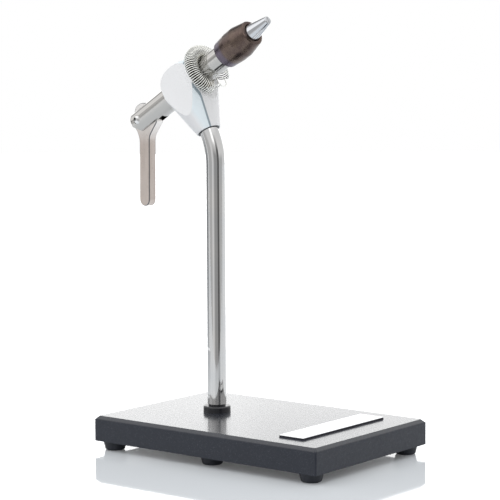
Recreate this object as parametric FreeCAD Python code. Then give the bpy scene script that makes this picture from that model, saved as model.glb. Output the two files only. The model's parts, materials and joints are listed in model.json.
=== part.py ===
import FreeCAD, Part
import math
import os

from FreeCAD import Placement, Rotation, Vector

# Fly tying vise in millimetres, +Z up, standing on its feet, with the jaws toward +X.

# Base plate, about the middle of its footprint
base_length = 138.1
base_width = 92.6
base_thickness = 12.7
base_edge_chamfer = 1.75
base_corner_radius = 0.8

# Rubber feet: four near the corners, two near the middle of the long edges
foot_height = 4.6
foot_top_radius = 6.0
foot_floor_radius = 4.8
foot_edge_radius = 1.2
foot_inset_x = 7.65
foot_inset_y = 6.9
middle_foot_inset_y = 9.3

# Bare plate on the base
plate_width = 14.4
plate_length = 67.0
plate_thickness = 1.0
plate_corner_radius = 0.5
plate_edge_chamfer = 0.25
plate_from_end = 23.9

# Post: upright, bend and leaning leg
post_diameter = 9.525
post_from_middle = 27.15
post_yaw = -4.5
post_lean = 30.0
post_bend_height = 151.8
post_bend_radius = 34.5
post_leg_length = 20.7
post_spigot_diameter = 7.9
post_spigot_depth = 4.0
post_foot_chamfer = 0.4
flat_depth = 0.54
flat_turn = 63.4
flat_bottom = 4.8
flat_length = 24.2
flat_runout_radius = 3.0

# Flange and fastening under the post
collar_diameter = 13.8
collar_height = 3.1
collar_chamfer = 0.5
collar_hub_diameter = 8.8
collar_hub_height = 0.6
post_screw_diameter = 5.0
post_screw_reach = 12.0
post_screw_head_diameter = 9.0
post_screw_head_height = 3.4
post_screw_socket_diameter = 4.0
post_screw_socket_depth = 2.0
washer_diameter = 12.5
washer_thickness = 1.0
seat_web = 3.5
seat_counterbore_diameter = 14.0

# Head: turned about the post's leg, with flats on its sides and front
leg_to_axis = 36.17
head_neck_length = 27.16
head_neck_radius = 6.2
head_neck_chamfer = 0.3
head_radius = 14.4
head_cone_slope = 0.338
head_cone_blend = 10.0
head_top = 10.1
head_top_radius = 7.9
head_thickness = 18.9
head_front = 10.4

# Bushes that the barrel turns in
bush_wall = 1.5
bush_length = 7.3
bush_rear_reach = 10.0

# Screws in the head's far side
head_screw_diameter = 4.0
head_screw_height = 7.5
head_screw_length = 3.2
drag_screw_diameter = 5.0
drag_screw_recess = 0.5
drag_plug_diameter = 4.0
drag_plug_length = 1.7
drag_groove_depth = 0.6
grub_socket_diameter = 2.2
grub_socket_depth = 1.2

# Barrel, along its own axis from the head's centre
barrel_diameter = 12.4
barrel_rear = 42.4
barrel_front = 38.5
barrel_rear_round = 1.0
barrel_front_chamfer = 0.6
barrel_spring_bore = 8.2
barrel_spring_shoulder = 2.0
barrel_front_bore = 8.4
barrel_front_bore_depth = 12.5
slot_side_fit = 0.1
slot_length = 19.6
fork_relief_start = 1.0
fork_relief_angle = 34.2

# Lever with its cam, about its pin
pin_from_rear = 5.05
pin_diameter = 4.6
pin_end_chamfer = 0.3
lever_thickness = 4.85
lever_length = 44.8
lever_width = 7.15
lever_front_offset = 5.45
lever_tip_radius = 3.4
lever_edge_chamfer = 0.42
lever_tilt = 0.55
lever_front_flare_height = 8.5
lever_front_flare_blend = 6.0
lever_rear_flare_height = 7.9
lever_rear_flare_blend = 10.0
lever_back_reach = 5.9
lever_shoulder_offset = 4.9
lever_shoulder_height = 4.7
lever_swing = 100.0
cam_closed_height = 10.0
rod_travel_length = 2.27
cam_lead_angle = 30.0
cam_end_angle = 105.0
cam_sections = 9

# Push rod, its pad, spring and guide
rod_diameter = 6.0
rod_front = 35.2
pad_diameter = 7.9
pad_thickness = 2.5
pad_spigot_diameter = 3.0
pad_spigot_length = 2.0
pad_edge_round = 0.4
return_wire = 0.7
return_turns = 13
guide_length = 3.5
fork_gap = 4.2
fork_depth = 4.9

# Jaws: two half cones on one pin
jaw_pin_diameter = 1.5
jaw_pin_from_front = 2.2
jaw_tongue_radius = 2.2
jaw_tongue_gap = 0.2
jaw_shank_start = 35.6
jaw_shank_radius = 3.0
jaw_body_start = 42.0
jaw_body_radius = 5.8
jaw_shoulder_round = 0.4
jaw_taper_start = 43.4
jaw_tip = 62.4
jaw_tip_radius = 2.0
jaw_tip_round = 0.5
jaw_split = 0.24
jaw_spring_diameter = 1.6
jaw_spring_length = 3.0
jaw_spring_place = 45.2
jaw_spring_in_right = 0.8

# Sleeve over the barrel's front end
sleeve_rear = 29.0
sleeve_front = 50.4
sleeve_rear_radius = 7.35
sleeve_belly_start = 36.7
sleeve_belly_end = 41.7
sleeve_belly_radius = 8.2
sleeve_belly_round = 6.0
sleeve_nose = 49.9
sleeve_nose_radius = 6.55
sleeve_mouth_radius = 4.8
sleeve_throat_from_front = 0.6
sleeve_edge_round = 0.6
ring_section = 1.0
ring_place = 35.5

# Material clip: a fine coil closed into a ring round the barrel
clip_place = 14.35
clip_ring_radius = 10.05
clip_coil_radius = 3.5
clip_wire = 0.45
clip_turns = 38
clip_join_angle = 77.0
clip_join_place = 26.5

# Clearances
running_fit = 0.03
pin_fit = 0.03
thread_fit = 0.05
spring_fit = 0.1
taper_fit = 0.15
pocket_fit = 0.15
lip_fit = 0.1

# Levels that follow from the sizes above
base_top = foot_height + base_thickness
collar_top = base_top + collar_height
post_foot = collar_top + collar_hub_height
seat_floor = base_top - post_spigot_depth
seat_ceiling = seat_floor - seat_web
post_x = -post_from_middle
barrel_radius = barrel_diameter / 2
rod_radius = rod_diameter / 2
pin_place = -(barrel_rear - pin_from_rear)
rod_rear = pin_place + cam_closed_height
pad_front = rod_rear + pad_thickness
cam_rise = rod_travel_length / math.radians(lever_swing)
guide_rear = barrel_front - barrel_front_bore_depth
jaw_pivot = rod_front - jaw_pin_from_front
slot_front = -(barrel_rear - slot_length)
slot_width = lever_thickness + 2 * slot_side_fit
jaw_slope = (jaw_body_radius - jaw_tip_radius) / (jaw_tip - jaw_taper_start)
bush_radius = barrel_radius + running_fit + bush_wall

UP = Vector(0, 0, 1)
ACROSS = Vector(0, 1, 0)
LONG = Vector(1, 0, 0)
ORIGIN = Vector(0, 0, 0)
SOCKET_SIDES = 6
SLACK = 1.0  # how far a cutter passes what it cuts
TOUCH = 1e-6  # ends closer than this meet


def rounded_path(corners, closed):
    """Edges in the XZ plane through corners (x, z, rounding)."""
    count = len(corners)
    points = [Vector(x, 0, z) for x, z, rounding in corners]
    rounds = []
    for index, (x, z, rounding) in enumerate(corners):
        here = points[index]
        if not rounding:
            rounds.append((here, here, here))
            continue
        back = (points[index - 1] - here).normalize()
        ahead = (points[(index + 1) % count] - here).normalize()
        half = back.getAngle(ahead) / 2
        reach = rounding / math.tan(half)
        middle = here + (back + ahead).normalize() * (rounding / math.sin(half) - rounding)
        rounds.append((here + back * reach, middle, here + ahead * reach))
    edges = []
    for index, (start, middle, end) in enumerate(rounds):
        if corners[index][2]:
            edges.append(Part.Arc(start, middle, end).toShape())
        following = rounds[(index + 1) % count][0]
        last = index == count - 1 and not closed
        if not last and (following - end).Length > TOUCH:
            edges.append(Part.makeLine(end, following))
    return edges


def outline(corners):
    """Closed outline in the XZ plane through corners (x, z, rounding)."""
    return Part.Wire(rounded_path(corners, True))


def turned(corners):
    """Solid turned about Z from corners (radius, height, rounding)."""
    return Part.Face(outline(corners)).revolve(ORIGIN, UP, 360)


def along_barrel(shape):
    """The shape turned so that its Z axis runs along the barrel."""
    turned_shape = shape.copy()
    turned_shape.rotate(ORIGIN, ACROSS, 90)
    return turned_shape


def box(x_range, y_range, z_range):
    size = [high - low for low, high in (x_range, y_range, z_range)]
    return Part.makeBox(*size, Vector(x_range[0], y_range[0], z_range[0]))


def ring(outer_radius, inner_radius, length, start):
    """Plain ring about Z from the height start."""
    outer = Part.makeCylinder(outer_radius, length, Vector(0, 0, start))
    return outer.cut(Part.makeCylinder(inner_radius, length, Vector(0, 0, start)))


def socket(across, depth, height):
    """Six-sided socket about Z that opens downward at the height."""
    side_angle = 2 * math.pi / SOCKET_SIDES
    corner_radius = across / 2 / math.cos(side_angle / 2)
    corners = [
        Vector(corner_radius * math.cos(turn), corner_radius * math.sin(turn), height)
        for turn in [side_angle * side for side in range(SOCKET_SIDES + 1)]
    ]
    return Part.Face(Part.makePolygon(corners)).extrude(UP * depth)


def biarc(start, leaving, end, arriving):
    """Two tangent arcs from start to end with the given directions at the ends."""
    chord = end - start
    both = leaving + arriving
    bend = 2 * (1 - leaving.dot(arriving))
    along = chord.dot(both)
    reach = (math.sqrt(along * along + bend * chord.dot(chord)) - along) / bend
    first = start + leaving * reach
    second = end - arriving * reach
    joint = (first + second) * 0.5
    arcs = []
    for near, corner, far in ((start, first, joint), (joint, second, end)):
        half = (corner - near).getAngle(far - corner) / 2
        weight = math.cos(half)
        middle = (near + corner * (2 * weight) + far) * (1 / (2 * (1 + weight)))
        arcs.append(Part.Arc(near, middle, far).toShape())
    return arcs


def coil(path, turns, wire_diameter):
    """Unbroken wire along path(share), which gives a point, in half turns, with straight ends."""
    step = 1e-5
    steps = 2 * turns
    shares = [index / steps for index in range(steps + 1)]
    points = [path(share) for share in shares]
    directions = [(path(share + step) - path(share - step)).normalize() for share in shares]
    edges = [Part.makeLine(points[0] - directions[0] * wire_diameter, points[0])]
    for index in range(steps):
        edges += biarc(points[index], directions[index], points[index + 1], directions[index + 1])
    edges.append(Part.makeLine(points[-1], points[-1] + directions[-1] * wire_diameter))
    start = points[0] - directions[0] * wire_diameter
    section = Part.Wire(Part.makeCircle(wire_diameter / 2, start, directions[0]))
    return Part.Wire(edges).makePipeShell([section], True, False)


def least_gap(path, turns, wire_diameter):
    """Smallest gap between one turn and the next, measured on points along the wire."""
    samples_per_turn = 24
    count = samples_per_turn * turns
    points = [path(index / count) for index in range(count + 1)]
    least = min(
        (points[index] - points[other]).Length
        for index in range(count + 1)
        for other in range(index + samples_per_turn // 2, min(index + 2 * samples_per_turn, count + 1))
    )
    return least - wire_diameter


# Base group


def make_base_plate():
    half_length = base_length / 2
    half_width = base_width / 2
    plate = box((-half_length, half_length), (-half_width, half_width), (foot_height, base_top))
    rim = [edge for edge in plate.Edges if edge.BoundBox.ZMin > base_top - TOUCH]
    plate = plate.makeChamfer(base_edge_chamfer, rim)
    rising = [edge for edge in plate.Edges if edge.BoundBox.ZLength > TOUCH]
    plate = plate.makeFillet(base_corner_radius, rising)
    seat = Part.makeCylinder(post_spigot_diameter / 2 + running_fit, post_spigot_depth + SLACK,
                             Vector(post_x, 0, seat_floor))
    bore = Part.makeCylinder(post_screw_diameter / 2 + thread_fit, base_thickness,
                             Vector(post_x, 0, foot_height))
    counterbore = Part.makeCylinder(seat_counterbore_diameter / 2, seat_ceiling - foot_height + SLACK,
                                    Vector(post_x, 0, foot_height - SLACK))
    return plate.cut([seat, bore, counterbore])


def foot_places():
    corner_x = base_length / 2 - foot_inset_x
    corner_y = base_width / 2 - foot_inset_y
    middle_y = base_width / 2 - middle_foot_inset_y
    return {
        "foot_front_left": (-corner_x, -corner_y),
        "foot_front_middle": (0, -middle_y),
        "foot_front_right": (corner_x, -corner_y),
        "foot_back_left": (-corner_x, corner_y),
        "foot_back_middle": (0, middle_y),
        "foot_back_right": (corner_x, corner_y),
    }


def make_foot(x, y):
    foot = turned([
        (0, 0, 0),
        (foot_floor_radius, 0, foot_edge_radius),
        (foot_top_radius, foot_height, 0),
        (0, foot_height, 0),
    ])
    foot.translate(Vector(x, y, 0))
    return foot


def make_name_plate():
    centre_x = base_length / 2 - plate_from_end
    plate = box((centre_x - plate_width / 2, centre_x + plate_width / 2),
                (-plate_length / 2, plate_length / 2),
                (base_top, base_top + plate_thickness))
    uprights = [edge for edge in plate.Edges if edge.BoundBox.ZLength > plate_thickness / 2]
    plate = plate.makeFillet(plate_corner_radius, uprights)
    rim = [edge for edge in plate.Edges if edge.BoundBox.ZMin > base_top + plate_thickness - TOUCH]
    return plate.makeChamfer(plate_edge_chamfer, rim)


# Post group, about the post's axis


def make_post_collar():
    collar = turned([
        (post_spigot_diameter / 2 + running_fit, base_top, 0),
        (collar_diameter / 2, base_top, 0),
        (collar_diameter / 2, collar_top, collar_chamfer),
        (collar_hub_diameter / 2, collar_top, 0),
        (collar_hub_diameter / 2, post_foot, 0),
        (post_spigot_diameter / 2 + running_fit, post_foot, 0),
    ])
    return collar


def make_post():
    radius = post_diameter / 2
    half_lean = math.radians(post_lean / 2)
    tangent = post_bend_radius * math.tan(half_lean)
    upright_top = post_bend_height - tangent
    upright = Part.makeCylinder(radius, upright_top - post_foot, Vector(0, 0, post_foot))
    rim = [edge for edge in upright.Edges if edge.BoundBox.ZMax < post_foot + TOUCH]
    upright = upright.makeChamfer(post_foot_chamfer, rim)
    section = Part.Face(Part.Wire(Part.makeCircle(radius, Vector(0, 0, upright_top), UP)))
    bend = section.revolve(Vector(-post_bend_radius, 0, upright_top), ACROSS, -post_lean)
    lean = Rotation(ACROSS, -post_lean).multVec(UP)
    leg_start = Vector(0, 0, post_bend_height) + lean * tangent
    leg = Part.makeCylinder(radius, post_leg_length - tangent, leg_start, lean)
    spigot_length = post_foot - seat_floor
    spigot = Part.makeCylinder(post_spigot_diameter / 2, spigot_length, Vector(0, 0, seat_floor))
    post = upright.fuse([bend, leg, spigot]).removeSplitter()
    hole = Part.makeCylinder(post_screw_diameter / 2 + thread_fit, post_screw_reach + SLACK,
                             Vector(0, 0, seat_floor))
    flat_low = post_foot + flat_bottom
    flat_high = flat_low + flat_length
    flat = Part.Face(outline([
        (-radius - SLACK, flat_low, 0),
        (-radius + flat_depth, flat_low, 0),
        (-radius + flat_depth, flat_high, flat_runout_radius),
        (-radius - SLACK, flat_high + flat_runout_radius, 0),
    ])).extrude(ACROSS * post_diameter)
    flat.translate(ACROSS * -radius)
    flat.rotate(ORIGIN, UP, flat_turn)
    return post.cut([hole, flat])


def make_post_screw():
    head_top_z = seat_ceiling - washer_thickness
    head_shape = turned([
        (0, head_top_z - post_screw_head_height, 0),
        (post_screw_head_diameter / 2, head_top_z - post_screw_head_height, 0),
        (post_screw_head_diameter / 2, head_top_z, 0),
        (post_screw_diameter / 2, head_top_z, 0),
        (post_screw_diameter / 2, seat_floor + post_screw_reach, 0),
        (0, seat_floor + post_screw_reach, 0),
    ])
    return head_shape.cut(socket(post_screw_socket_diameter, post_screw_socket_depth,
                                 head_top_z - post_screw_head_height))


def make_post_washer():
    return ring(washer_diameter / 2, post_screw_diameter / 2 + thread_fit, washer_thickness,
                seat_ceiling - washer_thickness)


# Head group, about the head's centre with X along the barrel and Z along the post's leg


def far_side_hole(radius, x, height):
    """Cylinder along Y from the middle out through the head's far side."""
    return Part.makeCylinder(radius, head_thickness, Vector(x, 0, height), ACROSS)


def make_head():
    cone_top = -head_neck_length + (head_radius - head_neck_radius) / head_cone_slope
    body = turned([
        (0, -head_neck_length, 0),
        (head_neck_radius, -head_neck_length, head_neck_chamfer),
        (head_radius, cone_top, head_cone_blend),
        (head_radius, head_top, head_top_radius),
        (0, head_top, 0),
    ])
    reach = head_radius + SLACK
    body = body.common(box((-reach, head_front), (-head_thickness / 2, head_thickness / 2),
                           (-head_neck_length, head_top)))
    bush_bore = Part.makeCylinder(bush_radius, bush_rear_reach + reach, Vector(0, 0, -bush_rear_reach))
    lip_bore = Part.makeCylinder(barrel_radius + lip_fit, 2 * reach, Vector(0, 0, -reach))
    leg_bore = Part.makeCylinder(post_diameter / 2 + running_fit, head_neck_length - leg_end(),
                                 Vector(0, 0, -head_neck_length))
    head_screw_hole = far_side_hole(head_screw_diameter / 2 + thread_fit, 0, head_screw_level())
    drag_hole = far_side_hole(drag_screw_diameter / 2 + thread_fit, 0, 0)
    return body.cut([along_barrel(bush_bore), along_barrel(lip_bore), leg_bore, head_screw_hole, drag_hole])


def leg_end():
    """Distance from the head's centre down to the end of the post's leg."""
    return leg_to_axis - post_leg_length


def head_screw_level():
    return -head_neck_length + head_screw_height


def make_bush(start):
    return along_barrel(ring(bush_radius, barrel_radius + running_fit, bush_length, start))


def grub_screw(diameter, length, inner_end, level):
    """Grub screw along Y with its inner end at that distance from the middle."""
    screw = Part.makeCylinder(diameter / 2, length, Vector(0, 0, 0))
    screw = screw.cut(socket(grub_socket_diameter, grub_socket_depth, 0))
    screw.rotate(ORIGIN, LONG, 90)
    screw.translate(Vector(0, inner_end + length, level))
    return screw


def make_head_screw():
    return grub_screw(head_screw_diameter, head_screw_length, post_diameter / 2, head_screw_level())


def plug_tip():
    return barrel_radius - drag_groove_depth + thread_fit


def make_drag_plug():
    return Part.makeCylinder(drag_plug_diameter / 2, drag_plug_length, Vector(0, plug_tip(), 0), ACROSS)


def make_drag_screw():
    inner_end = plug_tip() + drag_plug_length
    length = head_thickness / 2 - drag_screw_recess - inner_end
    return grub_screw(drag_screw_diameter, length, inner_end, 0)


# Barrel group, in the same place as the head's centre


def make_barrel():
    body = turned([
        (0, -barrel_rear, 0),
        (barrel_radius, -barrel_rear, barrel_rear_round),
        (barrel_radius, barrel_front, 0),
        (0, barrel_front, 0),
    ])
    front_rim = [edge for edge in body.Edges if edge.BoundBox.ZMin > barrel_front - TOUCH]
    body = body.makeChamfer(barrel_front_chamfer, front_rim)
    rear_reach = barrel_rear + SLACK
    spring_bore = Part.makeCylinder(barrel_spring_bore / 2, rear_reach + barrel_spring_shoulder,
                                    Vector(0, 0, -rear_reach))
    rod_bore = Part.makeCylinder(rod_radius + running_fit, barrel_front, ORIGIN)
    front_bore = Part.makeCylinder(barrel_front_bore / 2, barrel_front_bore_depth + SLACK,
                                   Vector(0, 0, guide_rear))
    groove_length = drag_plug_diameter + 2 * thread_fit
    groove = ring(barrel_radius + SLACK, barrel_radius - drag_groove_depth, groove_length,
                  -groove_length / 2)
    barrel = along_barrel(body.cut([spring_bore, rod_bore, front_bore, groove]))
    slot = box((-rear_reach, slot_front), (-slot_width / 2, slot_width / 2),
               (-barrel_diameter, barrel_diameter))
    relief = box((-barrel_diameter, 0), (-barrel_radius - SLACK, barrel_radius + SLACK),
                 (-barrel_diameter, SLACK))
    relief.rotate(ORIGIN, ACROSS, -fork_relief_angle)
    relief.translate(Vector(-barrel_rear, 0, -fork_relief_start))
    pin_hole = Part.makeCylinder(pin_diameter / 2, barrel_diameter,
                                 Vector(pin_place, -barrel_radius, 0), ACROSS)
    return barrel.cut([slot, relief, pin_hole])


def make_lever_pin():
    pin = turned([
        (0, -barrel_radius, 0),
        (pin_diameter / 2, -barrel_radius, pin_end_chamfer),
        (pin_diameter / 2, barrel_radius, pin_end_chamfer),
        (0, barrel_radius, 0),
    ])
    pin.rotate(ORIGIN, LONG, 90)
    pin.translate(LONG * pin_place)
    return pin


def cam_point(angle):
    """Point of the cam about the pin, in the barrel's plane: its flat follower moves evenly."""
    turn = math.radians(angle)
    normal = Vector(math.cos(turn), 0, math.sin(turn))
    tangent = Vector(-math.sin(turn), 0, math.cos(turn))
    return normal * (cam_closed_height - cam_rise * turn) - tangent * cam_rise


def lever_corner(x, z, rounding):
    """Corner of the hanging bar, which leans back a little with its tip to the rear."""
    leaned = Rotation(ACROSS, lever_tilt).multVec(Vector(x, 0, z))
    return leaned.x, leaned.z, rounding


def make_lever():
    upright = Rotation(ACROSS, -post_lean)
    span = cam_end_angle + cam_lead_angle
    angles = [-cam_lead_angle + span * section / (cam_sections - 1) for section in range(cam_sections)]
    cam_points = [upright.multVec(cam_point(angle)) for angle in angles]
    cam = Part.BSplineCurve()
    cam.interpolate(cam_points)
    shoulder = Vector(-lever_shoulder_offset, 0, -lever_shoulder_height)
    back = Part.Arc(cam_points[-1], Vector(-lever_back_reach, 0, 0), shoulder)
    rear = lever_front_offset - lever_width
    bar = rounded_path([
        (shoulder.x, shoulder.z, 0),
        lever_corner(rear, -lever_rear_flare_height, lever_rear_flare_blend),
        lever_corner(rear, -lever_length, lever_tip_radius),
        lever_corner(lever_front_offset, -lever_length, lever_tip_radius),
        lever_corner(lever_front_offset, -lever_front_flare_height, lever_front_flare_blend),
        (cam_points[0].x, cam_points[0].z, 0),
    ], False)
    profile = Part.Wire(bar + [cam.toShape(), back.toShape()])
    lever = Part.Face(profile).extrude(ACROSS * lever_thickness)
    lever.translate(ACROSS * (-lever_thickness / 2))
    rims = [edge for edge in lever.Edges if edge.BoundBox.YLength < lever_thickness / 2]
    lever = lever.makeChamfer(lever_edge_chamfer, rims)
    hole = Part.makeCylinder(pin_diameter / 2 + pin_fit, lever_thickness + 2 * SLACK,
                             Vector(0, -lever_thickness / 2 - SLACK, 0), ACROSS)
    lever = lever.cut(hole)
    lever.rotate(ORIGIN, ACROSS, post_lean)
    lever.translate(LONG * pin_place)
    return lever


# Push rod group, along the barrel's axis


def make_cam_pad():
    pad = turned([
        (0, rod_rear, 0),
        (pad_diameter / 2, rod_rear, pad_edge_round),
        (pad_diameter / 2, pad_front, 0),
        (pad_spigot_diameter / 2, pad_front, 0),
        (pad_spigot_diameter / 2, pad_front + pad_spigot_length, 0),
        (0, pad_front + pad_spigot_length, 0),
    ])
    return along_barrel(pad)


def make_push_rod():
    rod = Part.makeCylinder(rod_radius, rod_front - pad_front, Vector(0, 0, pad_front))
    spigot_hole = Part.makeCylinder(pad_spigot_diameter / 2, pad_spigot_length, Vector(0, 0, pad_front))
    rod = along_barrel(rod.cut(spigot_hole))
    fork = box((rod_front - fork_depth, rod_front + SLACK), (-rod_radius, rod_radius),
               (-fork_gap / 2, fork_gap / 2))
    pin_hole = Part.makeCylinder(jaw_pin_diameter / 2, rod_diameter, Vector(jaw_pivot, 0, -rod_radius))
    return rod.cut([fork, pin_hole])


def spring_path(share):
    angle = 2 * math.pi * return_turns * share
    radius = rod_radius + spring_fit + return_wire / 2
    rear = pad_front + return_wire / 2 + spring_fit
    front = barrel_spring_shoulder - return_wire / 2 - spring_fit
    return Vector(radius * math.cos(angle), radius * math.sin(angle), rear + (front - rear) * share)


def make_return_spring():
    return along_barrel(coil(spring_path, return_turns, return_wire))


def make_rod_guide():
    return along_barrel(ring(barrel_front_bore / 2, rod_radius + running_fit, guide_length, guide_rear))


# Jaws, closed, split in the plane Y = 0


def jaw_cone():
    """Both jaws as one turned body."""
    cone = turned([
        (0, jaw_shank_start, 0),
        (jaw_shank_radius, jaw_shank_start, 0),
        (jaw_shank_radius, jaw_body_start, 0),
        (jaw_body_radius, jaw_body_start, jaw_shoulder_round),
        (jaw_body_radius, jaw_taper_start, 0),
        (jaw_tip_radius, jaw_tip, jaw_tip_round),
        (0, jaw_tip, 0),
    ])
    return along_barrel(cone)


def make_jaw(side, upper):
    """Half cone on the given side of the split, with its tongue above or below the middle."""
    reach = jaw_body_radius + SLACK
    half_split = jaw_split / 2
    keep_y = (half_split, reach) if side > 0 else (-reach, -half_split)
    half = jaw_cone().common(box((jaw_shank_start, jaw_tip), keep_y, (-reach, reach)))
    tongue_height = (fork_gap - jaw_tongue_gap) / 2 - jaw_tongue_gap / 2
    low = jaw_tongue_gap / 2 if upper else -jaw_tongue_gap / 2 - tongue_height
    eye = Part.makeCylinder(jaw_tongue_radius, tongue_height, Vector(jaw_pivot, 0, low))
    neck_y = (half_split, jaw_tongue_radius) if side > 0 else (-jaw_tongue_radius, -half_split)
    neck = box((jaw_pivot, jaw_shank_start + SLACK), neck_y, (low, low + tongue_height))
    inside_fork = Part.makeCylinder(rod_radius, fork_depth + 2 * SLACK,
                                    Vector(rod_front - fork_depth, 0, 0), LONG)
    tongue = eye.fuse(neck).common(inside_fork)
    pin_hole = Part.makeCylinder(jaw_pin_diameter / 2 + pin_fit, rod_diameter,
                                 Vector(jaw_pivot, 0, -rod_radius))
    pocket_depth = jaw_spring_length - jaw_spring_in_right + half_split
    depth = pocket_depth if side < 0 else jaw_spring_in_right + half_split + pocket_fit
    pocket = Part.makeCylinder(jaw_spring_diameter / 2 + pocket_fit, depth,
                               Vector(jaw_spring_place, 0, 0), ACROSS * side)
    return half.fuse(tongue).removeSplitter().cut([pin_hole, pocket])


def make_jaw_pin():
    length = 2 * math.sqrt(rod_radius ** 2 - (jaw_pin_diameter / 2) ** 2)
    return Part.makeCylinder(jaw_pin_diameter / 2, length, Vector(jaw_pivot, 0, -length / 2))


def make_jaw_spring():
    start = -(jaw_spring_length - jaw_spring_in_right + jaw_split / 2)
    return Part.makeCylinder(jaw_spring_diameter / 2, jaw_spring_length,
                             Vector(jaw_spring_place, start, 0), ACROSS)


# Sleeve and its friction ring


def make_jaw_sleeve():
    bore = barrel_radius + thread_fit
    throat = sleeve_front - sleeve_throat_from_front
    throat_radius = jaw_body_radius - jaw_slope * (throat - jaw_taper_start) + taper_fit
    taper_start = jaw_taper_start - (bore - jaw_body_radius - taper_fit) / jaw_slope
    groove_radius = barrel_radius + ring_section
    sleeve = turned([
        (bore, sleeve_rear, 0),
        (sleeve_rear_radius, sleeve_rear, sleeve_edge_round),
        (sleeve_belly_radius, sleeve_belly_start, sleeve_belly_round),
        (sleeve_belly_radius, sleeve_belly_end, sleeve_belly_round),
        (sleeve_nose_radius, sleeve_nose, 0),
        (sleeve_nose_radius - (sleeve_front - sleeve_nose), sleeve_front, 0),
        (sleeve_mouth_radius, sleeve_front, 0),
        (sleeve_mouth_radius, throat, 0),
        (throat_radius, throat, 0),
        (bore, taper_start, 0),
        (bore, ring_place + ring_section / 2 + thread_fit, 0),
        (groove_radius + thread_fit, ring_place + ring_section / 2 + thread_fit, 0),
        (groove_radius + thread_fit, ring_place - ring_section / 2 - thread_fit, 0),
        (bore, ring_place - ring_section / 2 - thread_fit, 0),
    ])
    return along_barrel(sleeve)


def make_sleeve_ring():
    centre_radius = barrel_radius + running_fit + ring_section / 2 - thread_fit / 2
    soft_ring = Part.makeTorus(centre_radius, ring_section / 2 - thread_fit, Vector(0, 0, ring_place), UP)
    return along_barrel(soft_ring)


# Material clip


def clip_path(share):
    """Centre of the clip's wire: fine turns round a ring, open by the join angle."""
    sweep = math.radians(360 - clip_join_angle)
    about_barrel = math.radians(clip_join_place + clip_join_angle / 2) + sweep * share
    about_ring = 2 * math.pi * clip_turns * share
    wind = clip_coil_radius - clip_wire / 2
    reach = clip_ring_radius + wind * math.cos(about_ring)
    return Vector(reach * math.cos(about_barrel), reach * math.sin(about_barrel),
                  clip_place + wind * math.sin(about_ring))


def make_material_clip():
    return along_barrel(coil(clip_path, clip_turns, clip_wire))


# Where each group stands


def post_group(shape):
    """From the post's own axis to its place on the base."""
    shape.rotate(ORIGIN, UP, post_yaw)
    shape.translate(Vector(post_x, 0, 0))
    return shape


def head_placement():
    """Placement of the head's centre and the barrel's axis."""
    lean = Rotation(ACROSS, -post_lean)
    centre = Vector(0, 0, post_bend_height) + lean.multVec(UP) * leg_to_axis
    own = Placement(centre, lean)
    place = Placement(Vector(post_x, 0, 0), Rotation(UP, post_yaw))
    return place.multiply(own)


def barrel_group(shape):
    """From the barrel's own frame to its place."""
    shape.transformShape(head_placement().toMatrix())
    return shape


def make_parts():
    parts = {"base_plate": make_base_plate(), "name_plate": make_name_plate()}
    for name, (x, y) in foot_places().items():
        parts[name] = make_foot(x, y)
    upright_makers = {
        "post_collar": make_post_collar,
        "post": make_post,
        "post_screw": make_post_screw,
        "post_washer": make_post_washer,
    }
    for name, make in upright_makers.items():
        parts[name] = post_group(make())
    barrel_frame_shapes = {
        "head": make_head(),
        "bush_front": make_bush(head_front - bush_length),
        "bush_rear": make_bush(-bush_rear_reach),
        "head_screw": make_head_screw(),
        "drag_screw": make_drag_screw(),
        "drag_plug": make_drag_plug(),
        "barrel": make_barrel(),
        "lever_pin": make_lever_pin(),
        "lever": make_lever(),
        "cam_pad": make_cam_pad(),
        "push_rod": make_push_rod(),
        "return_spring": make_return_spring(),
        "rod_guide": make_rod_guide(),
        "jaw_left": make_jaw(-1, True),
        "jaw_right": make_jaw(1, False),
        "jaw_pin": make_jaw_pin(),
        "jaw_spring": make_jaw_spring(),
        "jaw_sleeve": make_jaw_sleeve(),
        "sleeve_ring": make_sleeve_ring(),
        "material_clip": make_material_clip(),
    }
    for name, shape in barrel_frame_shapes.items():
        parts[name] = barrel_group(shape)
    return parts


def main():
    os.makedirs("parts", exist_ok=True)
    parts = make_parts()
    whole = Part.makeCompound(list(parts.values())).optimalBoundingBox()
    shift = Vector(-(whole.XMin + whole.XMax) / 2, -(whole.YMin + whole.YMax) / 2, -whole.ZMin)
    for name, shape in parts.items():
        shape.translate(shift)
        shape.exportStep("parts/" + name + ".step")
        sound = shape.isValid() and len(shape.Solids) == 1
        print(f"{name}: volume {shape.Volume:.1f}, {'sound' if sound else 'NOT SOUND'}")
    print("shift", shift)
    print("box", whole.XLength, whole.YLength, whole.ZLength)
    print("clip gap", round(least_gap(clip_path, clip_turns, clip_wire), 3))
    print("return spring gap", round(least_gap(spring_path, return_turns, return_wire), 3))
    print("rod travel", rod_travel_length)
    head = head_placement()
    for name, place in (("head centre", 0), ("lever pin", pin_place), ("jaw pivot", jaw_pivot),
                        ("jaw tips", jaw_tip)):
        print(name, head.multVec(LONG * place) + shift)
    for name, direction in (("along barrel", LONG), ("across", ACROSS), ("above barrel", UP)):
        print(name, head.Rotation.multVec(direction))


main()
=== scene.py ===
# %% [markdown]
# Fly tying vise, dressed for a studio picture.
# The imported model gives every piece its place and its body. This script remodels what shows with finer
# edges, gives each piece a finish made of nodes, and sets the camera, the floor and the light.

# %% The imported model
import json
import math

import bmesh
import bpy
from mathutils import Matrix, Vector


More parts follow.
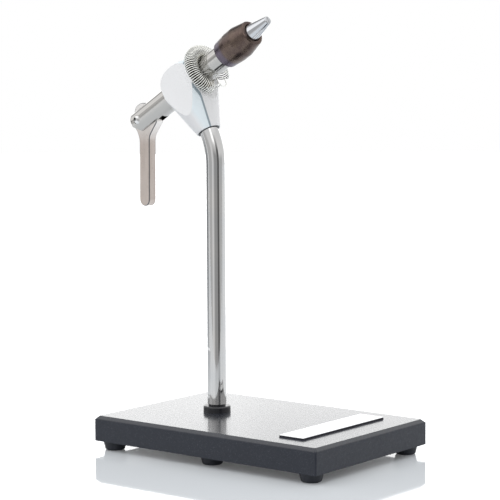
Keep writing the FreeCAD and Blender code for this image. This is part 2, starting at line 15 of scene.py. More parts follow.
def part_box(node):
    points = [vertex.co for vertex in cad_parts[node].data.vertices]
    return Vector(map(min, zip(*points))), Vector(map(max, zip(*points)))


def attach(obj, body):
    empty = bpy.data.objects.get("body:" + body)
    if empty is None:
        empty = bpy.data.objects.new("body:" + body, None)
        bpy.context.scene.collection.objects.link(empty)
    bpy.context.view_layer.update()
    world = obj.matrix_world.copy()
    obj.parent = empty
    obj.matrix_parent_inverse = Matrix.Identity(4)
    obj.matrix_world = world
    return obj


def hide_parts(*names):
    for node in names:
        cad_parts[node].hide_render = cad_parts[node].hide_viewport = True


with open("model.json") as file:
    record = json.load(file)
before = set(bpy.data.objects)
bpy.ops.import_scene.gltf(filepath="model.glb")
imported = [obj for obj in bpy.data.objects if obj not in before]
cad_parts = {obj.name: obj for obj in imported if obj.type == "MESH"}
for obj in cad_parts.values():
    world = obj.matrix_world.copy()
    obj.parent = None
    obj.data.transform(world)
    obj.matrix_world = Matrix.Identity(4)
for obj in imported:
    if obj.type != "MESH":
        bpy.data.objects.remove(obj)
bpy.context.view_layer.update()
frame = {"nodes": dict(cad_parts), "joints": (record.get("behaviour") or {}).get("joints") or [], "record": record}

MM = 0.001
scene = bpy.context.scene
nodes = frame["nodes"]
joints = {joint["name"]: joint for joint in frame["joints"]}
print("pieces in the packed model:", len(nodes))

# %% [markdown]
# Everything on the barrel is turned work, so it is easiest to model about the barrel's own axis.
# The joints say where that axis runs: the barrel's hinge gives the axis and the middle of the head, the
# lever's hinge gives the crosswise direction, and the two together give the third.
# A matrix made of these carries a finished mesh to its place, so each object can stay at the origin.

# %% Places
head_centre = Vector(joints["barrel_rotation"]["pos_m"])
along_axis = Vector(joints["barrel_rotation"]["axis"]).normalized()
across_axis = Vector(joints["lever_swing"]["axis"]).normalized()
above_axis = along_axis.cross(across_axis).normalized()
lever_pin_place = Vector(joints["lever_swing"]["pos_m"])
post_low, post_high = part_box("post_collar")
post_foot = Vector(((post_low.x + post_high.x) / 2, (post_low.y + post_high.y) / 2, 0.0))
yaw = math.atan2(along_axis.y, along_axis.x)


def axes_matrix(origin, x_axis, y_axis, z_axis):
    """Matrix from a piece's own axes to the model's."""
    turn = Matrix((x_axis, y_axis, z_axis)).transposed().to_4x4()
    return Matrix.Translation(origin) @ turn


barrel_place = axes_matrix(head_centre, along_axis, across_axis, above_axis)
post_place = Matrix.Translation(post_foot) @ Matrix.Rotation(yaw, 4, "Z")
lever_place = Matrix.Translation(lever_pin_place) @ Matrix.Rotation(yaw, 4, "Z")
lean = math.asin(along_axis.z)
print("barrel leans", round(math.degrees(lean), 2), "degrees, turned", round(math.degrees(yaw), 2))

# %% [markdown]
# Shader maths reads best as plain expressions. The first class below wraps a socket, so that an expression
# such as 1 - mask * 0.3 adds its Math nodes by itself. The second holds the nodes of one material: its node
# method adds any node, and the short methods after it name what the finishes use often.

# %% Shader helpers


class Value:
    """A number socket of a shader tree that can be calculated with."""

    def __init__(self, finish, socket):
        self.finish = finish
        self.socket = socket

    def maths(self, operation, first, second):
        return self.finish.maths(operation, first, second)

    def __add__(self, other):
        return self.maths("ADD", self, other)

    def __radd__(self, other):
        return self.maths("ADD", other, self)

    def __sub__(self, other):
        return self.maths("SUBTRACT", self, other)

    def __rsub__(self, other):
        return self.maths("SUBTRACT", other, self)

    def __mul__(self, other):
        return self.maths("MULTIPLY", self, other)

    def __rmul__(self, other):
        return self.maths("MULTIPLY", other, self)


class Finish:
    """The nodes of one material or of the world."""

    def __init__(self, tree):
        self.tree = tree

    def node(self, kind, settings=None, inputs=None, output=0):
        node = self.tree.nodes.new(kind)
        for name, setting in (settings or {}).items():
            setattr(node, name, setting)
        for name, value in (inputs or {}).items():
            self.feed(node.inputs[name], value)
        return Value(self, node.outputs[output])

    def maths(self, operation, *operands):
        """A Math node, also for what the operators don't cover, such as a square root."""
        return self.node("ShaderNodeMath", {"operation": operation}, dict(enumerate(operands)))

    def feed(self, socket, value):
        if isinstance(value, Value):
            self.tree.links.new(value.socket, socket)
        else:
            socket.default_value = value

    def blend(self, factor, first, second):
        """Mix of two colours."""
        return self.node("ShaderNodeMix", {"data_type": "RGBA"}, {0: factor, 6: first, 7: second}, 2)

    def between(self, value, low, high, to_low=0.0, to_high=1.0):
        """The value's range from low to high stretched to another one, clamped."""
        inputs = {"Value": value, "From Min": low, "From Max": high, "To Min": to_low, "To Max": to_high}
        return self.node("ShaderNodeMapRange", {"clamp": True}, inputs)

    def band(self, value, start, end):
        """One between two soft edges, each given as the place where it is none and where it is full."""
        return self.between(value, *start) * self.between(value, *end)

    def along(self, vector, axis):
        """One number of a vector: axis 0, 1 or 2 for X, Y or Z."""
        return self.node("ShaderNodeSeparateXYZ", inputs={"Vector": vector}, output=axis)

    def dot(self, vector, direction):
        settings = {"operation": "DOT_PRODUCT"}
        return self.node("ShaderNodeVectorMath", settings, {0: vector, 1: direction}, 1)

    def length(self, vector):
        return self.node("ShaderNodeVectorMath", {"operation": "LENGTH"}, {0: vector}, 1)

    def object_place(self):
        return self.node("ShaderNodeTexCoord", output="Object")

    def own_axes(self, matrix, stretch=(1.0, 1.0, 1.0)):
        """Object coordinates seen along a piece's own axes, in metres, each stretched by a factor."""
        back = matrix.inverted()
        turn = back.to_euler("XYZ")
        settings = {"vector_type": "POINT"}
        inputs = {"Vector": self.object_place(), "Location": back.translation, "Rotation": turn}
        turned = self.node("ShaderNodeMapping", settings, inputs)
        return self.node("ShaderNodeVectorMath", {"operation": "MULTIPLY"}, {0: turned, 1: stretch})

    def noise(self, place, scale, detail=2.0, roughness=0.5):
        inputs = {"Vector": place, "Scale": scale, "Detail": detail, "Roughness": roughness}
        return self.node("ShaderNodeTexNoise", inputs=inputs)


def new_finish(name, colour, metallic, roughness, **constants):
    """A material whose shader starts from plain numbers; returns its finish and its shader."""
    material = bpy.data.materials.new(name)
    material.use_nodes = True
    shader = material.node_tree.nodes["Principled BSDF"]
    shader.inputs["Base Color"].default_value = (*colour, 1.0)
    shader.inputs["Metallic"].default_value = metallic
    shader.inputs["Roughness"].default_value = roughness
    for key, value in constants.items():
        shader.inputs[key.replace("_", " ")].default_value = value
    return material, Finish(material.node_tree), shader


def add_bump(finish, shader, height, distance, strength=1.0):
    inputs = {"Height": height, "Distance": distance, "Strength": strength}
    finish.feed(shader.inputs["Normal"], finish.node("ShaderNodeBump", inputs=inputs))


# %% [markdown]
# The base has a black powder coat: a dark, slightly uneven skin like fine orange peel. Seen at a low angle
# its top turns almost into a mirror, while its upright sides stay dull. A clear coat over a rougher ground
# gives both: it is strong on the top and its chamfer and weak below. Two noises make the grain and a finer
# one the pale specks. The bump is a little deeper than real powder, so that it shows from a metre away.

# %% Powder coat
SHINE_HEIGHTS = (0.0157, 0.0159)                 # metres above the table, at the foot of the chamfer


def powder_coat():
    material, finish, shader = new_finish(
        "powder_coat", (0.02, 0.022, 0.026), 0.0, 0.42, Coat_Weight=1.0, Coat_Roughness=0.16,
        Specular_IOR_Level=0.25)
    place = finish.object_place()
    shine = finish.between(finish.along(place, 2), *SHINE_HEIGHTS, 0.15, 1.0)
    finish.feed(shader.inputs["Coat Weight"], shine)
    grain = finish.noise(place, 800.0, 3.0, 0.6)
    lumps = finish.noise(place, 420.0, 2.0, 0.5)
    sparkle = finish.noise(place, 2600.0, 1.0, 0.5)
    height = grain * 0.6 + lumps * 0.4
    add_bump(finish, shader, height, 0.00013, 0.55)
    pale = finish.between(sparkle, 0.62, 0.74)
    colour = finish.blend(pale * 0.5, (0.012, 0.015, 0.024, 1.0), (0.08, 0.088, 0.11, 1.0))
    finish.feed(shader.inputs["Base Color"], colour)
    finish.feed(shader.inputs["Roughness"], finish.between(grain, 0.3, 0.7, 0.34, 0.5))
    return material


# %% [markdown]
# The feet are soft black rubber with a faint blue cast, quite matte. The flange under the post is smooth
# black steel. The plate on the base is thin bright metal with straight brushing and a bare face. Its
# sheared edge is painted dark, a painted shadow line, so a mask by height keeps the bright colour to the face.

# %% Rubber, black steel and bright plate


def rubber():
    material, finish, shader = new_finish("foot_rubber", (0.014, 0.016, 0.022), 0.0, 0.55,
                                          Specular_IOR_Level=0.3)
    place = finish.object_place()
    dust = finish.noise(place, 700.0, 3.0, 0.6)
    finish.feed(shader.inputs["Roughness"], finish.between(dust, 0.35, 0.65, 0.42, 0.62))
    add_bump(finish, shader, dust, 0.0001, 0.3)
    return material


def black_steel():
    material, finish, shader = new_finish("black_steel", (0.01, 0.01, 0.014), 0.0, 0.3, Coat_Weight=0.2)
    rings = finish.noise(finish.own_axes(post_place, (1.0, 1.0, 30.0)), 120.0, 2.0, 0.5)
    finish.feed(shader.inputs["Roughness"], finish.between(rings, 0.3, 0.7, 0.24, 0.36))
    return material


PLATE_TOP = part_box("name_plate")[1].z
PLATE_BREAK = 0.22                               # millimetres, how far its edges are broken


def bright_plate():
    material, finish, shader = new_finish("bright_plate", (0.86, 0.87, 0.88), 1.0, 0.22)
    brushing = finish.noise(finish.own_axes(Matrix.Identity(4), (60.0, 1.0, 1.0)), 90.0, 3.0, 0.6)
    face_starts = PLATE_TOP - PLATE_BREAK * MM
    # Below the face the sheared edge is painted nearly black: a painted shadow line
    face = finish.between(finish.along(finish.object_place(), 2), face_starts, face_starts + 0.0001)
    tone = finish.blend(face, (0.05, 0.05, 0.06, 1.0), (0.86, 0.87, 0.88, 1.0))
    finish.feed(shader.inputs["Base Color"], tone)
    finish.feed(shader.inputs["Roughness"], finish.between(brushing, 0.3, 0.7, 0.16, 0.3))
    add_bump(finish, shader, brushing, 0.00001, 0.25)
    return material


# %% [markdown]
# The post is drawn stainless bar: fine scratches run along it. Stretching a noise along the bar's length
# gives these lines, and they only need to change the roughness and a very shallow bump. A slow cloud
# shifts the colour a little, because no drawn bar is quite even.

# %% Drawn stainless


def drawn_stainless():
    material, finish, shader = new_finish("drawn_stainless", (0.58, 0.585, 0.59), 1.0, 0.07)
    lines = finish.noise(finish.own_axes(post_place, (1.0, 1.0, 0.02)), 2600.0, 3.0, 0.55)
    cloud = finish.noise(finish.object_place(), 60.0, 2.0, 0.5)
    rough = finish.between(lines * 0.7 + cloud * 0.3, 0.35, 0.65, 0.04, 0.09)
    finish.feed(shader.inputs["Roughness"], rough)
    tone = finish.blend(finish.between(cloud, 0.3, 0.7), (0.57, 0.575, 0.58, 1.0), (0.62, 0.61, 0.6, 1.0))
    finish.feed(shader.inputs["Base Color"], tone)
    add_bump(finish, shader, lines, 0.000008, 0.3)
    return material


# %% [markdown]
# The head is aluminium with a fine blasted skin, nearly white and so soft in its reflections that it is
# made as a pale paint with a trace of metal. Light and shade from around it are painted on with masks
# along its own axes: painted shade on the rear, a painted pale reflection in a cool strip and a painted
# dark reflection in a line down the front of the turned cone, and painted shade in the mouth round the
# post. The flats stay clear of the masks. The barrel and the jaws are polished steel with faint marks left
# by turning. These run round the axis, so their noise changes along the barrel and hardly across it.

# %% Blasted aluminium and polished steel
NEAR_FLAT = (-0.00943, -0.00938)                 # metres across, just inside the head's near side
FRONT_FLAT = (0.0103, 0.0102)                    # metres forward, just behind its front
NECK_END = (-0.02685, -0.02695)                  # metres above the axis, at the neck's lower end
# Where the painted dark reflection runs down the turned cone and bends off along the front
DARK_REFLECTION_TURN = math.radians(32.3)                 # from the crosswise direction
DARK_REFLECTION_FORWARD = 0.0098


def dark_reflection_line(finish, own, forward):
    """Metres past the line of the painted dark reflection down the cone, which bends off where it meets the front.
    """
    outward = (math.sin(DARK_REFLECTION_TURN), math.cos(DARK_REFLECTION_TURN), 0.0)
    return finish.maths("SMOOTH_MAX", finish.dot(own, outward), forward - DARK_REFLECTION_FORWARD, 0.001)


def blasted_aluminium():
    material, finish, shader = new_finish("blasted_aluminium", (0.8, 0.8, 0.81), 0.05, 0.4)
    grain = finish.noise(finish.object_place(), 3200.0, 2.0, 0.6)
    cloud = finish.noise(finish.object_place(), 90.0, 2.0, 0.5)
    finish.feed(shader.inputs["Roughness"], finish.between(cloud, 0.3, 0.7, 0.38, 0.46))
    own = finish.own_axes(barrel_place)
    forward, across, above = [finish.along(own, axis) for axis in range(3)]
    turned_part = finish.between(across, *NEAR_FLAT) * finish.between(forward, *FRONT_FLAT)
    # Painted shade on the rear of the turned part
    rear = turned_part * finish.between(forward, 0.002, -0.002)
    line = dark_reflection_line(finish, own, forward)
    # A cool strip painted pale beside the dark line: a painted reflection
    painted_pale_reflection = finish.between(line, 0.0, -0.0005) * finish.between(forward, 0.001, 0.004) * turned_part
    # The painted dark reflection in a line down the front of the cone
    painted_dark_reflection = (finish.band(line, (-0.0008, -0.0005), (0.0004, 0.0002))
              * finish.between(forward, 0.002, 0.003) * turned_part)
    from_post = finish.length(finish.own_axes(barrel_place, (1.0, 1.0, 0.0)))
    # Painted shade in the mouth round the post, where the neck meets it
    mouth = finish.between(above, *NECK_END) * finish.between(from_post, 0.0058, 0.0056)
    tone = finish.blend(finish.between(grain, 0.3, 0.7), (0.83, 0.83, 0.84, 1.0), (0.87, 0.87, 0.875, 1.0))
    for mask, colour in ((rear, (0.7, 0.7, 0.71, 1.0)), (painted_pale_reflection, (0.86, 0.94, 0.98, 1.0)),
                         (painted_dark_reflection, (0.3, 0.36, 0.4, 1.0)), (mouth, (0.05, 0.05, 0.055, 1.0))):
        tone = finish.blend(mask, tone, colour)
    finish.feed(shader.inputs["Base Color"], tone)
    add_bump(finish, shader, grain, 0.00001, 0.35)
    return material


def turned_steel(name, colour, roughness):
    material, finish, shader = new_finish(name, colour, 1.0, roughness)
    marks = finish.noise(finish.own_axes(barrel_place, (1.0, 0.02, 0.02)), 4200.0, 2.0, 0.6)
    cloud = finish.noise(finish.object_place(), 110.0, 2.0, 0.5)
    rough = finish.between(marks * 0.6 + cloud * 0.4, 0.35, 0.65, roughness * 0.75, roughness * 1.35)
    finish.feed(shader.inputs["Roughness"], rough)
    add_bump(finish, shader, marks, 0.000004, 0.25)
    return material


# %% [markdown]
# The lever is a warm, beige grey: heat-treated steel, tumbled to an even matte skin, polished near the pin
# and painted paler there, a painted highlight. Its rounded edges have a polish that would mirror the dark side
# of the room, and a mask by the distance from its middle plane paints that in: a painted dark reflection.
# The sleeve is dark brown anodised metal with a satin shine, uneven enough to show cloudy patches, and a little
# violet at its rear. The clip is bright spring wire. Its hooks and the outsides of its turns get painted light,
# and a mask paints shade on what lies deeper in the coil: painted shade.

# %% Lever, sleeve and small parts
# Band beside the middle plane where the rounded edges get a painted dark reflection
LEVER_EDGE_REFLECTION = ((0.00198, 0.00204), (0.00242, 0.0024))      # metres beside its middle plane
CLIP_RING = 10.05                                # millimetres, as the clip is modelled later
CLIP_PLACE = 14.35
CLIP_COIL = 3.5
CLIP_JOIN = math.radians(26.5)


def tumbled_steel():
    material, finish, shader = new_finish("tumbled_steel", (0.55, 0.48, 0.44), 1.0, 0.34)
    grain = finish.noise(finish.object_place(), 1500.0, 3.0, 0.6)
    streaks = finish.noise(finish.own_axes(lever_place, (1.0, 1.0, 0.15)), 330.0, 3.0, 0.6)
    mix = finish.between(streaks, 0.3, 0.7)
    own = finish.own_axes(lever_place)
    # Paler near the pin: real polish there, shown with a painted highlight
    polish_and_highlight_near_pin = finish.between(finish.along(own, 2), -0.013, 0.002)
    # The rounded edges painted dark: a painted reflection of the dark side of the room
    edge = finish.band(finish.maths("ABSOLUTE", finish.along(own, 1)), *LEVER_EDGE_REFLECTION)
    tone = finish.blend(mix, (0.5, 0.435, 0.395, 1.0), (0.57, 0.505, 0.465, 1.0))
    tone = finish.blend(polish_and_highlight_near_pin, tone, (0.82, 0.8, 0.78, 1.0))
    finish.feed(shader.inputs["Base Color"], finish.blend(edge, tone, (0.14, 0.145, 0.155, 1.0)))
    finish.feed(shader.inputs["Roughness"], finish.between(grain, 0.3, 0.7, 0.26, 0.42))
    add_bump(finish, shader, grain, 0.00002, 0.3)
    return material


def brown_anodised():
    material, finish, shader = new_finish("brown_anodised", (0.12, 0.09, 0.08), 0.9, 0.22)
    cloud = finish.noise(finish.object_place(), 260.0, 3.0, 0.6)
    marks = finish.noise(finish.own_axes(barrel_place, (1.0, 0.03, 0.03)), 2600.0, 2.0, 0.6)
    mix = finish.between(cloud, 0.35, 0.65)
    rear = finish.between(finish.along(finish.own_axes(barrel_place), 0), 0.0345, 0.0325)
    tone = finish.blend(mix, (0.088, 0.062, 0.057, 1.0), (0.135, 0.1, 0.082, 1.0))
    finish.feed(shader.inputs["Base Color"], finish.blend(rear, tone, (0.12, 0.1, 0.125, 1.0)))
    finish.feed(shader.inputs["Roughness"], finish.between(marks, 0.3, 0.7, 0.23, 0.33))
    add_bump(finish, shader, marks, 0.000003, 0.2)
    return material


def plain_metal(name, colour, roughness):
    material, finish, shader = new_finish(name, colour, 1.0, roughness)
    cloud = finish.noise(finish.object_place(), 900.0, 2.0, 0.5)
    finish.feed(shader.inputs["Roughness"], finish.between(cloud, 0.3, 0.7, roughness * 0.8, roughness * 1.2))
    return material


def spring_wire():
    material, finish, shader = new_finish("spring_wire", (0.62, 0.62, 0.57), 1.0, 0.2)
    round_barrel = finish.own_axes(barrel_place, (0.0, 1.0, 1.0))
    about = finish.length(round_barrel) - CLIP_RING * MM
    ahead = finish.along(finish.own_axes(barrel_place), 0) - CLIP_PLACE * MM
    from_coil_middle = finish.maths("SQRT", about * about + ahead * ahead)
    outside = CLIP_COIL * MM
    # Painted light on the outsides of the turns and on the hooks; deeper in the coil, painted shade
    painted_lit_crest = finish.between(from_coil_middle, outside - 0.0003, outside - 0.00015)
    toward_join = (0.0, math.sin(CLIP_JOIN), -math.cos(CLIP_JOIN))
    outward = finish.node("ShaderNodeVectorMath", {"operation": "NORMALIZE"}, {0: round_barrel})
    painted_lit_hooks = finish.between(finish.dot(outward, toward_join), 0.75, 0.79)
    painted_light_on_wire = finish.maths("MAXIMUM", painted_lit_crest, painted_lit_hooks)
    # Nearly black for the painted shade, nearly white for the painted light
    tone = finish.blend(painted_light_on_wire, (0.045, 0.045, 0.038, 1.0), (0.97, 0.97, 0.92, 1.0))
    finish.feed(shader.inputs["Base Color"], tone)
    finish.feed(shader.inputs["Roughness"], finish.between(painted_light_on_wire, 0.0, 1.0, 0.5, 0.2))
    return material


finishes = {
    "base_coat": powder_coat(),
    "rubber": rubber(),
    "plate": bright_plate(),
    "black_steel": black_steel(),
    "stainless": drawn_stainless(),
    "zinc_steel": plain_metal("plated_steel", (0.6, 0.6, 0.6), 0.3),
    "head_alloy": blasted_aluminium(),
    "bronze": plain_metal("bronze", (0.2, 0.16, 0.11), 0.4),
    "barrel_steel": turned_steel("polished_barrel", (0.42, 0.41, 0.395), 0.06),
    "lever_steel": tumbled_steel(),
    "nylon": new_finish("nylon", (0.8, 0.79, 0.75), 0.0, 0.5)[0],
    "spring_steel": spring_wire(),
    "sleeve_brown": brown_anodised(),
    "jaw_steel": turned_steel("polished_jaws", (0.52, 0.53, 0.55), 0.06),
    "oring": new_finish("soft_ring", (0.02, 0.02, 0.02), 0.0, 0.6)[0],
}
slot_of = {piece["node"]: piece["material_slot"] for piece in frame["record"]["subparts"]}
for name, node in nodes.items():
    node.data.materials.clear()
    node.data.materials.append(finishes[slot_of[name]])
print("finishes:", len(finishes))

# %% [markdown]
# Every new piece is drawn in millimetres about its own axis, as on a workshop drawing, and only then set
# in its place and scaled to metres. Turned pieces start from a few points of their outline. A bevel
# rounds the points, and a full spin makes the solid. This keeps the fillets exact and the code short.

# %% Modelling helpers
ROUND_STEPS = 96


def round_corner(mesh, corner, radius):
    """Fillet of one point of a wire, which a bevel makes from the distance to the tangent points."""
    first, second = [edge.other_vert(corner).co - corner.co for edge in corner.link_edges]
    reach = radius / math.tan(first.angle(second) / 2)
    bmesh.ops.bevel(mesh, geom=[corner], offset=reach, offset_type="OFFSET", segments=5, profile=0.5,
                    affect="VERTICES", material=-1)


def drawn_outline(corners, closed):
    """Wire in the XZ plane through corners (x, z, rounding)."""
    mesh = bmesh.new()
    points = [mesh.verts.new((x, 0, z)) for x, z, rounding in corners]
    for start, end in zip(points, points[1:] + points[:1] if closed else points[1:]):
        mesh.edges.new((start, end))
    for point, corner in zip(points, corners):
        if corner[2]:
            round_corner(mesh, point, corner[2])
    return mesh


def turned(corners, closed=False, steps=ROUND_STEPS):
    """Solid turned about Z from corners (radius, height, rounding)."""
    mesh = drawn_outline(corners, closed)
    bmesh.ops.spin(mesh, geom=mesh.verts[:] + mesh.edges[:], cent=(0, 0, 0), axis=(0, 0, 1),
                   angle=2 * math.pi, steps=steps, use_merge=True)
    bmesh.ops.remove_doubles(mesh, verts=mesh.verts, dist=0.0005)
    bmesh.ops.recalc_face_normals(mesh, faces=mesh.faces)
    return mesh


def sawn(mesh, point, outward):
    """The solid cut flat at a plane and closed again."""
    cut = bmesh.ops.bisect_plane(mesh, geom=mesh.verts[:] + mesh.edges[:] + mesh.faces[:], dist=0.0005,
                                 plane_co=point, plane_no=outward, clear_outer=True)
    rim = [item for item in cut["geom_cut"] if isinstance(item, bmesh.types.BMEdge)]
    bmesh.ops.holes_fill(mesh, edges=rim, sides=0)
    return mesh


def carve(mesh, *cutters):
    """The solid with each cutter taken away by an exact Boolean."""
    work = []
    for item in (mesh, *cutters):
        bmesh.ops.recalc_face_normals(item, faces=item.faces)
        data = bpy.data.meshes.new("work")
        item.to_mesh(data)
        item.free()
        work.append(bpy.data.objects.new("work", data))
        scene.collection.objects.link(work[-1])
    for cutter in work[1:]:
        modifier = work[0].modifiers.new("cut", "BOOLEAN")
        modifier.operation = "DIFFERENCE"
        modifier.solver = "EXACT"
        modifier.object = cutter
    graph = bpy.context.evaluated_depsgraph_get()
    result = bmesh.new()
    result.from_mesh(work[0].evaluated_get(graph).to_mesh())
    for item in work:
        bpy.data.meshes.remove(item.data)
    return result


def rod(radius, low, high, flare_low=0.0, flare_high=0.0):
    """Cutter along Z. An end with a flare opens at 45 degrees, which chamfers the mouth just inside it."""
    corners = [(0, low, 0)]
    if flare_low:
        corners += [(radius + 3 * flare_low, low, 0), (radius, low + 3 * flare_low, 0)]
    else:
        corners += [(radius, low, 0)]
    if flare_high:
        corners += [(radius, high - 3 * flare_high, 0), (radius + 3 * flare_high, high, 0)]
    else:
        corners += [(radius, high, 0)]
    return turned(corners + [(0, high, 0)])


def block(x_range, y_range, z_range):
    mesh = bmesh.new()
    bmesh.ops.create_cube(mesh, size=1.0)
    ranges = (x_range, y_range, z_range)
    bmesh.ops.scale(mesh, verts=mesh.verts, vec=[high - low for low, high in ranges])
    bmesh.ops.translate(mesh, verts=mesh.verts, vec=[(low + high) / 2 for low, high in ranges])
    return mesh


def moved(mesh, matrix):
    mesh.transform(matrix)
    return mesh


def joined(mesh, *others):
    """All the shells in one mesh."""
    for other in others:
        data = bpy.data.meshes.new("work")
        other.to_mesh(data)
        other.free()
        mesh.from_mesh(data)
        bpy.data.meshes.remove(data)
    return mesh


def soften(mesh, edges, radius, segments=3):
    """Rounds the given edges."""
    bmesh.ops.bevel(mesh, geom=edges, offset=radius, offset_type="OFFSET", segments=segments, profile=0.5,
                    affect="EDGES", material=-1, clamp_overlap=True)
    return mesh


LARGE_FLAT = 60e-6                               # square metres, above which a face is shaded flat
TO_X = Matrix.Rotation(math.pi / 2, 4, "Y")      # from Z to X
TO_Y = Matrix.Rotation(-math.pi / 2, 4, "X")     # from Z to Y


def place_piece(name, mesh, place, body, slot, *replaced, sharp=32):
    """The finished object in its place: its sharp edges stay crisp and the rest is shaded smooth."""
    mesh.transform(place @ Matrix.Scale(MM, 4))
    bmesh.ops.remove_doubles(mesh, verts=mesh.verts, dist=1e-7)
    bmesh.ops.recalc_face_normals(mesh, faces=mesh.faces)
    data = bpy.data.meshes.new(name)
    mesh.to_mesh(data)
    mesh.free()
    data.shade_smooth()
    data.set_sharp_from_angle(angle=math.radians(sharp))
    for face in data.polygons:
        face.use_smooth = face.area < LARGE_FLAT
    data.materials.append(finishes[slot])
    piece = bpy.data.objects.new(name, data)
    scene.collection.objects.link(piece)
    weighting = piece.modifiers.new("even shading", "WEIGHTED_NORMAL")
    weighting.keep_sharp = True
    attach(piece, body)
    if replaced:
        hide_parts(*replaced)
    print(name, "faces:", len(data.polygons))
    return piece


# %% [markdown]
# The base is a sawn steel slab. Its top rim has a wide chamfer and its upright corners are only broken.
# Both are bevels on a cube: one segment leaves the chamfer flat, and four segments round the corners,
# also where they cross the chamfer. The seat for the post's spigot, the screw's hole and the counterbore
# below are cut out last.

# %% Base plate
BASE_SIZE = (138.1, 92.6, 12.7)
BASE_CHAMFER = 1.75
BASE_CORNER = 0.7
SEAT_RADIUS = 3.98
FOOT_HEIGHT = 4.6
BASE_TOP = FOOT_HEIGHT + BASE_SIZE[2]
base_low, base_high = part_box("base_plate")
base_middle_x = (base_low.x + base_high.x) / 2
base_place = Matrix.Translation((base_middle_x, 0, 0))
post_from_middle = (post_foot.x - base_middle_x) / MM


def base_shape():
    half_x, half_y = BASE_SIZE[0] / 2, BASE_SIZE[1] / 2
    mesh = block((-half_x, half_x), (-half_y, half_y), (FOOT_HEIGHT, BASE_TOP))
    top = max(mesh.faces, key=lambda face: face.calc_center_median().z)
    soften(mesh, top.edges[:], BASE_CHAMFER, 1)
    rising = [edge for edge in mesh.edges if abs(edge.verts[0].co.z - edge.verts[1].co.z) > 1]
    soften(mesh, rising, BASE_CORNER, 4)
    hole = rod(2.55, FOOT_HEIGHT - 1, BASE_TOP + 1)
    seat = rod(SEAT_RADIUS, BASE_TOP - 4, BASE_TOP + 1)
    counterbore = rod(7.0, FOOT_HEIGHT - 1, BASE_TOP - 7.5)
    at_post = Matrix.Translation((post_from_middle, 0, 0))
    return carve(mesh, moved(hole, at_post), moved(seat, at_post), moved(counterbore, at_post))


place_piece("slab", base_shape(), base_place, "stand", "base_coat", "base_plate", sharp=50)

# %% [markdown]
# Six rubber feet hold the base clear of the bench. Each is a short cone with a rounded lower edge and a
# shallow dish in its floor face, moulded so that only a ring of it touches the bench.

# %% Feet


def foot_shape():
    return turned([(0, 0.35, 0), (3.4, 0.35, 0), (3.9, 0, 0.2), (4.8, 0, 1.1), (6.0, FOOT_HEIGHT, 0),
                   (0, FOOT_HEIGHT, 0)], steps=64)


for side in ("front", "back"):
    for end in ("left", "middle", "right"):
        node = "foot_" + side + "_" + end
        low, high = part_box(node)
        middle = Matrix.Translation(((low.x + high.x) / 2, (low.y + high.y) / 2, 0))
        place_piece("rubber_" + side + "_" + end, foot_shape(), middle, "stand", "rubber", node)

# %% [markdown]
# A thin plate lies on the base near its right end. It was sheared from sheet and its edges are broken.

# %% Thin plate


def plate_shape():
    low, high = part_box("name_plate")
    spans = [(low[axis] / MM, high[axis] / MM) for axis in range(3)]
    mesh = block(*spans)
    rising = [edge for edge in mesh.edges if abs(edge.verts[0].co.z - edge.verts[1].co.z) > 0.5]
    soften(mesh, rising, 0.5, 4)
    top = max(mesh.faces, key=lambda face: face.calc_center_median().z)
    return soften(mesh, top.edges[:], PLATE_BREAK, 2)


place_piece("bare_plate", plate_shape(), Matrix.Identity(4), "stand", "plate", "name_plate", sharp=50)

# %% [markdown]
# The flange that the post stands on is turned from bar, with a chamfered rim and a low hub.

# %% Flange
COLLAR_TOP = BASE_TOP + 3.1
COLLAR_RADIUS = 6.9
COLLAR_CHAMFER = 0.5
HUB_RADIUS = 4.4
POST_FOOT = COLLAR_TOP + 0.6
flange = turned([(SEAT_RADIUS, BASE_TOP, 0), (COLLAR_RADIUS, BASE_TOP, 0),
                 (COLLAR_RADIUS, COLLAR_TOP - COLLAR_CHAMFER, 0.15),
                 (COLLAR_RADIUS - COLLAR_CHAMFER, COLLAR_TOP, 0.15), (HUB_RADIUS, COLLAR_TOP, 0),
                 (HUB_RADIUS, POST_FOOT, 0.1), (SEAT_RADIUS, POST_FOOT, 0)], closed=True)
place_piece("flange", flange, post_place, "stand", "black_steel", "post_collar")

# %% [markdown]
# The post is one length of round bar. A circle is drawn up to the bend, spun about the bend's centre and
# drawn on along the leg, which is how a bar bender moves it. Its foot has a small chamfer. The flat above
# that is milled, and its upper end runs out in the cutter's radius.

# %% Post
POST_RADIUS = 9.525 / 2
LEAN = math.radians(30)
BEND_RADIUS = 34.5
BEND_HEIGHT = 151.8
LEG_LENGTH = 20.7
POST_CHAMFER = 0.4
FLAT_START = 4.8
FLAT_LENGTH = 24.2
FLAT_DEPTH = 0.54
FLAT_RUNOUT = 3.0
FLAT_TURN = math.radians(63.4)


def drawn_on(mesh, rim, direction):
    """The open end carried on along a direction; returns the new rim."""
    grown = bmesh.ops.extrude_edge_only(mesh, edges=rim)["geom"]
    bmesh.ops.translate(mesh, verts=[item for item in grown if isinstance(item, bmesh.types.BMVert)],
                        vec=direction)
    return [item for item in grown if isinstance(item, bmesh.types.BMEdge)]


